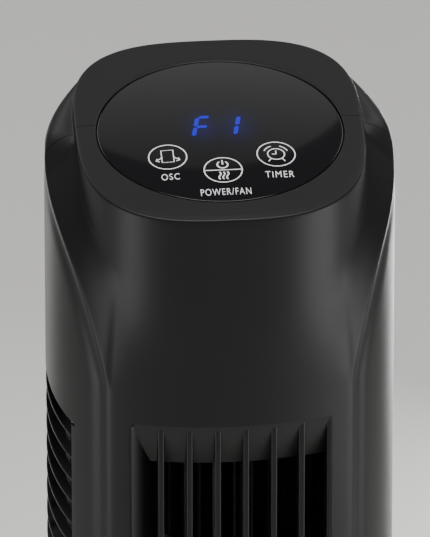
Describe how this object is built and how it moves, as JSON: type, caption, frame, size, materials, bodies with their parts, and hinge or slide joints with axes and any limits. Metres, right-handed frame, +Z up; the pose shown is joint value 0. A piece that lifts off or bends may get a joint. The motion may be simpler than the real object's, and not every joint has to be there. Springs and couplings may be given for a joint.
{
  "type": "tower fan",
  "caption": "Upright cross-flow fan in a round black casing with a tilted touch panel, ribbed front outlet and louvred rear inlet, swinging on a round base.",
  "frame": {"origin": "on the floor at the middle of the base, on the axis that the tower swings about", "axes": "+Z up along the tower, the air outlet faces -Y at rest, +X to the right seen from the back of the outlet, that is to the viewer's right when facing the outlet"},
  "size_m": [0.24, 0.24, 0.7614],
  "materials": {
    "case_black": "fine-grained matte black moulding",
    "grille_black": "satin black moulding",
    "base_black": "satin black moulding",
    "inner_black": "plain black moulding",
    "panel_gloss": "polished black lens",
    "board_green": "solder mask",
    "display": "potted display block",
    "steel": "plated steel",
    "zinc_steel": "zinc plated sheet",
    "stator_steel": "varnished laminations",
    "wheel_black": "glass-filled black moulding",
    "rubber": "matte rubber",
    "bush": "sintered bronze",
    "nylon": "natural nylon",
    "capacitor": "moulded box"
  },
  "bodies": {
    "base": {"base_cover": "base_black", "base_plate": "inner_black", "base_screws": "steel", "rubber_feet": "rubber", "pivot_post": "zinc_steel", "pivot_screws": "steel", "slide_ring": "nylon", "retaining_ring": "zinc_steel", "cord_gland": "rubber", "drive_yoke": "nylon"},
    "wheel": {"impeller": "wheel_black", "impeller_stub": "steel", "motor_shaft": "steel", "rotor": "stator_steel"},
    "crank": {"crank_arm": "nylon"},
    "tower": {"front_shell": "case_black", "rear_shell": "case_black", "handle_cup": "case_black", "outlet_grille": "grille_black", "inlet_grille": "grille_black", "touch_panel": "panel_gloss", "panel_tray": "inner_black", "control_board": "board_green", "board_screws": "steel", "display_module": "display", "touch_springs": "steel", "motor_housing": "zinc_steel", "stator": "stator_steel", "motor_cushions": "rubber", "motor_screws": "steel", "motor_plate": "inner_black", "bearing_plate": "inner_black", "upper_bush": "bush", "scroll_duct": "inner_black", "air_tongue": "inner_black", "bottom_cap": "inner_black", "osc_motor": "zinc_steel", "osc_screws": "steel", "power_board": "board_green", "run_capacitor": "capacitor", "shell_screws": "steel"}
  },
  "joints": [
    {"name": "oscillation", "type": "hinge", "parent": "base", "child": "tower", "pos_m": [0, 0, 0.06], "axis": [0, 0, 1], "range_deg": [-35, 35]},
    {"name": "crank_turn", "type": "hinge", "parent": "tower", "child": "crank", "pos_m": [0, 0.03, 0.051], "axis": [0, 0, 1], "range_deg": [-105, 105]},
    {"name": "wheel_spin", "type": "hinge", "parent": "tower", "child": "wheel", "pos_m": [0.004, 0.006, 0.3], "axis": [0, 0, 1], "continuous": true}
  ],
  "couplings": [
    {"joint": "crank_turn", "follows": "oscillation", "ratio": -3}
  ]
}
